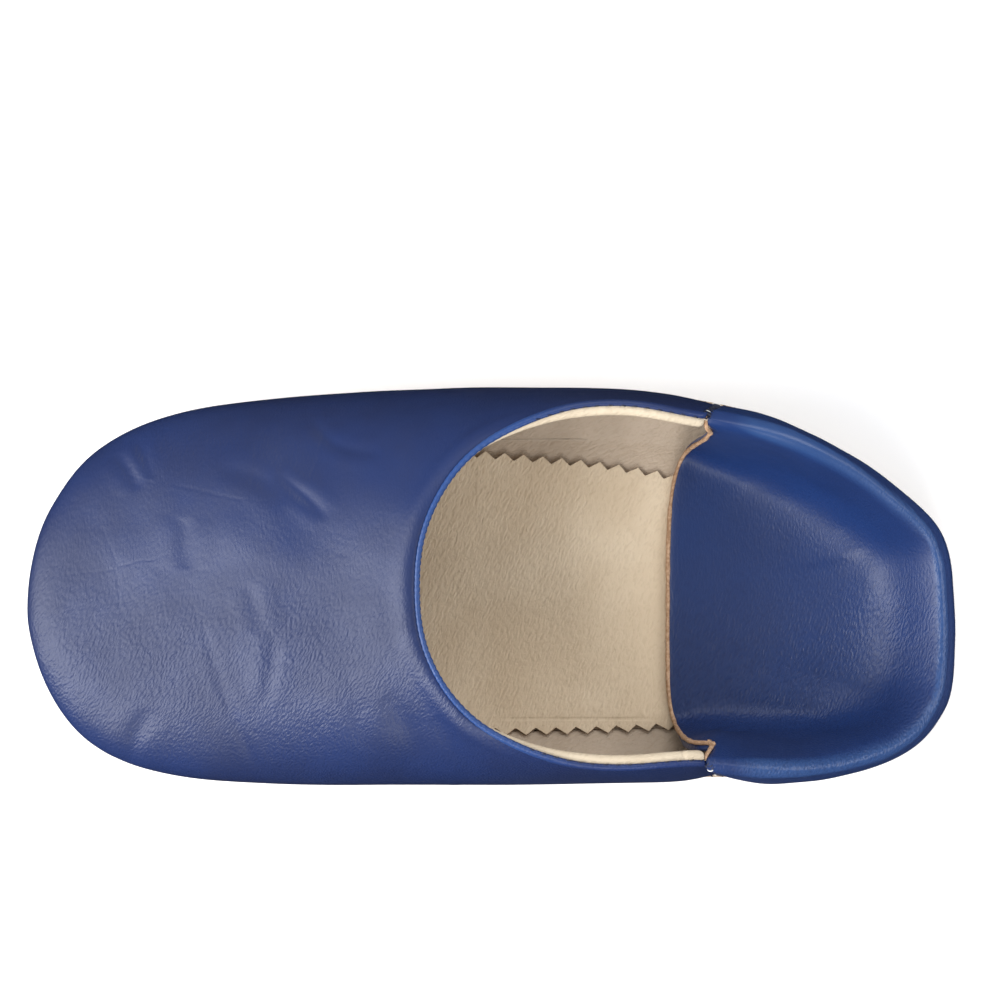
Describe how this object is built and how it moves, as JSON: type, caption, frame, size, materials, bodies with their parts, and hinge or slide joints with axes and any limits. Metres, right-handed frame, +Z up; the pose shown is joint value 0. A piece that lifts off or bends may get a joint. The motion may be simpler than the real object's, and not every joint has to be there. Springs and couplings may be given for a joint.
{
  "type": "babouche slipper",
  "caption": "Soft leather mule slipper with a rounded toe, heel quarter folded down inside, whipped sole seam and pinked insole.",
  "frame": {"origin": "bottom centre of the whole slipper's box, on the ground plane under the sole", "axes": "+Z up, toe towards -X and heel towards +X, little toe side towards +Y, big toe side towards -Y"},
  "size_m": [0.26, 0.111, 0.0705],
  "materials": {
    "upper_leather": "smooth aniline-dyed goat leather, low satin sheen, fine grain",
    "sole_leather": "natural undyed leather, matt",
    "insole_leather": "natural undyed leather, matt, fine grain",
    "lining_leather": "thin natural sheepskin lining, matt",
    "seam_thread": "waxed dark blue thread",
    "light_thread": "undyed waxed thread"
  },
  "bodies": {
    "root": {"upper_vamp": "upper_leather", "upper_heel_quarter": "upper_leather", "sole": "sole_leather", "insole": "insole_leather"}
  },
  "joints": []
}
